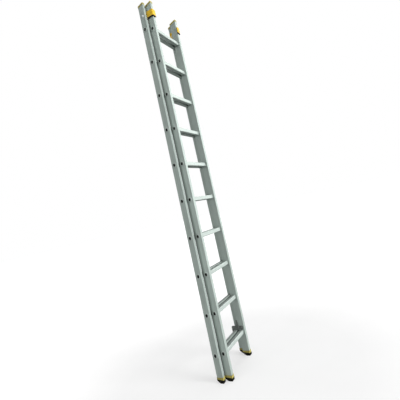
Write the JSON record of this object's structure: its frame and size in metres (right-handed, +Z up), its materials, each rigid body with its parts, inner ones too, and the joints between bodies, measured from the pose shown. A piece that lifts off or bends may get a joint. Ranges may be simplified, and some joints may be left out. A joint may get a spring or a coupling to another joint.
{
  "type": "extension ladder",
  "caption": "Two-section push-up aluminium extension ladder, nested: narrower front fly with rung hooks slides up the rear base in yellow guide brackets.",
  "frame": {"origin": "below the centre of the nested ladder's bounding box, level with the lowest points of the soles", "axes": "+X along the rungs towards the ladder's right stiles as seen by someone facing its climbing side; -Y towards the climber; +Z up the stiles, the direction in which the fly section is raised"},
  "size_m": [0.461, 0.118, 2.936],
  "materials": {
    "stile_aluminium": "satin extruded",
    "rung_aluminium": "satin, grooved tread",
    "yellow_plastic": "moulded",
    "bracket_plastic": "moulded, slight gloss",
    "liner_plastic": "moulded",
    "sole_rubber": "moulded rubber",
    "zinc_steel": "bright zinc",
    "hook_metal": "dark grey cast and coated",
    "rivet_aluminium": "bright"
  },
  "bodies": {
    "base_section": {"base_stile_left": "stile_aluminium", "base_stile_right": "stile_aluminium", "base_rung_01": "rung_aluminium", "base_rung_02": "rung_aluminium", "base_rung_03": "rung_aluminium", "base_rung_04": "rung_aluminium", "base_rung_05": "rung_aluminium", "base_rung_06": "rung_aluminium", "base_rung_07": "rung_aluminium", "base_rung_08": "rung_aluminium", "base_rung_09": "rung_aluminium", "base_rung_10": "rung_aluminium", "base_cap_left": "yellow_plastic", "base_cap_right": "yellow_plastic", "base_boot_left": "yellow_plastic", "base_boot_right": "yellow_plastic", "base_sole_left": "sole_rubber", "base_sole_right": "sole_rubber", "guide_bracket_left": "bracket_plastic", "guide_bracket_right": "bracket_plastic", "guide_liner_left": "liner_plastic", "guide_liner_right": "liner_plastic", "guide_bolt_left": "zinc_steel", "guide_bolt_right": "zinc_steel", "guide_nut_left": "zinc_steel", "guide_nut_right": "zinc_steel"},
    "fly_section": {"fly_stile_left": "stile_aluminium", "fly_stile_right": "stile_aluminium", "fly_rung_01": "rung_aluminium", "fly_rung_02": "rung_aluminium", "fly_rung_03": "rung_aluminium", "fly_rung_04": "rung_aluminium", "fly_rung_05": "rung_aluminium", "fly_rung_06": "rung_aluminium", "fly_rung_07": "rung_aluminium", "fly_rung_08": "rung_aluminium", "fly_rung_09": "rung_aluminium", "fly_rung_10": "rung_aluminium", "fly_cap_left": "yellow_plastic", "fly_cap_right": "yellow_plastic", "fly_boot_left": "yellow_plastic", "fly_boot_right": "yellow_plastic", "fly_sole_left": "sole_rubber", "fly_sole_right": "sole_rubber", "rung_hook_left": "hook_metal", "rung_hook_right": "hook_metal", "hook_rivets_left": "rivet_aluminium", "hook_rivets_right": "rivet_aluminium"}
  },
  "joints": [
    {"name": "fly_slide", "type": "slide", "parent": "base_section", "child": "fly_section", "axis": [0, 0, 1], "range_m": [0, 2.24]}
  ]
}
